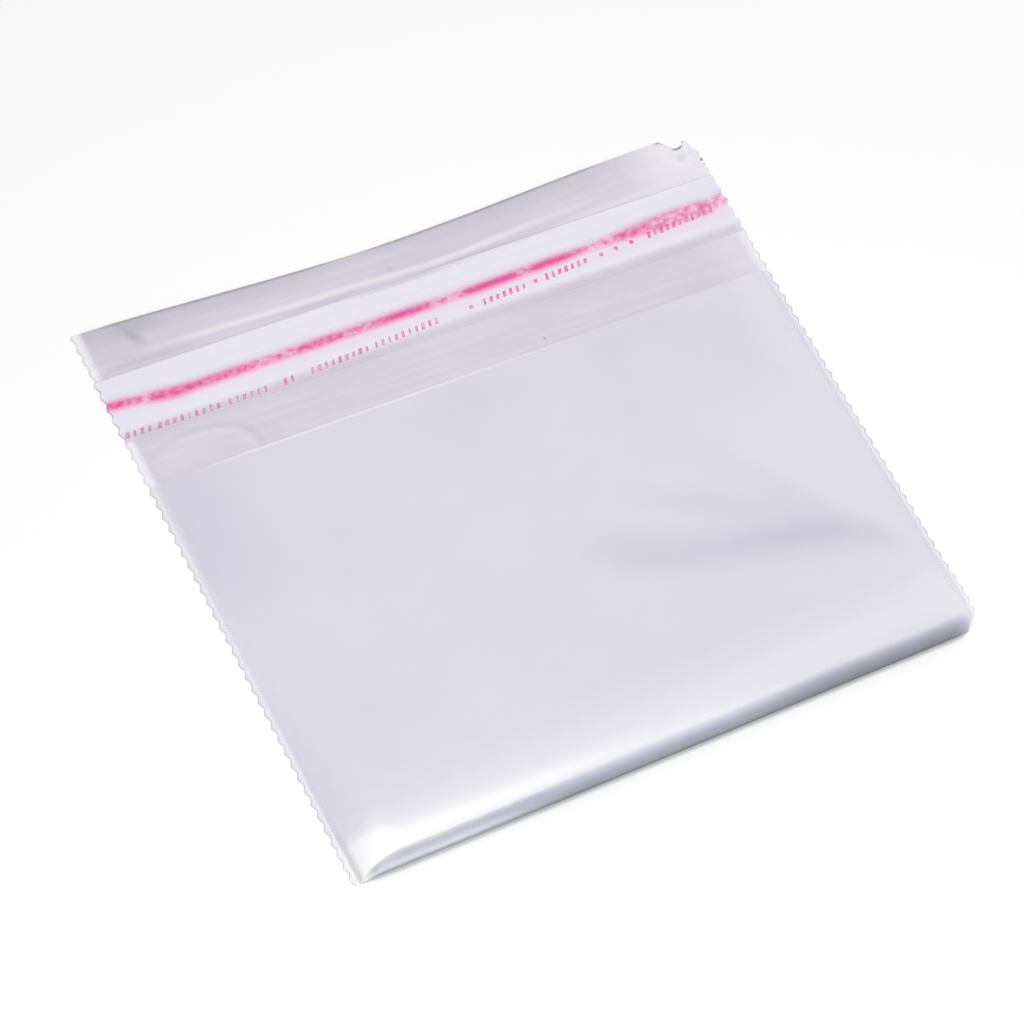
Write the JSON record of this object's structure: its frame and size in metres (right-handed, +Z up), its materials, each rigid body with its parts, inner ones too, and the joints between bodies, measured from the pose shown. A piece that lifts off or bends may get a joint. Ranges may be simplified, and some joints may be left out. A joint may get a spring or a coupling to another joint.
{
  "type": "self-seal cellophane bag",
  "caption": "Clear film bag, folded at the bottom and welded down both toothed sides, with a flap that carries adhesive under a peel-off liner.",
  "frame": {"origin": "on the table, under the middle of the bag's outline", "axes": "+X across the bag, +Y from the bottom fold towards the mouth and the flap, +Z up from the table, out of the front panel"},
  "size_m": [0.16, 0.14, 0.006],
  "materials": {
    "film": "clear glossy polypropylene film, faintly lavender where layers lie over each other",
    "adhesive": "clear permanent adhesive, slightly hazy",
    "liner": "milky release film with one printed magenta line and a row of small printed marks"
  },
  "bodies": {
    "root": {"film_bag": "film", "adhesive_strip": "adhesive", "release_liner": "liner"}
  },
  "joints": []
}
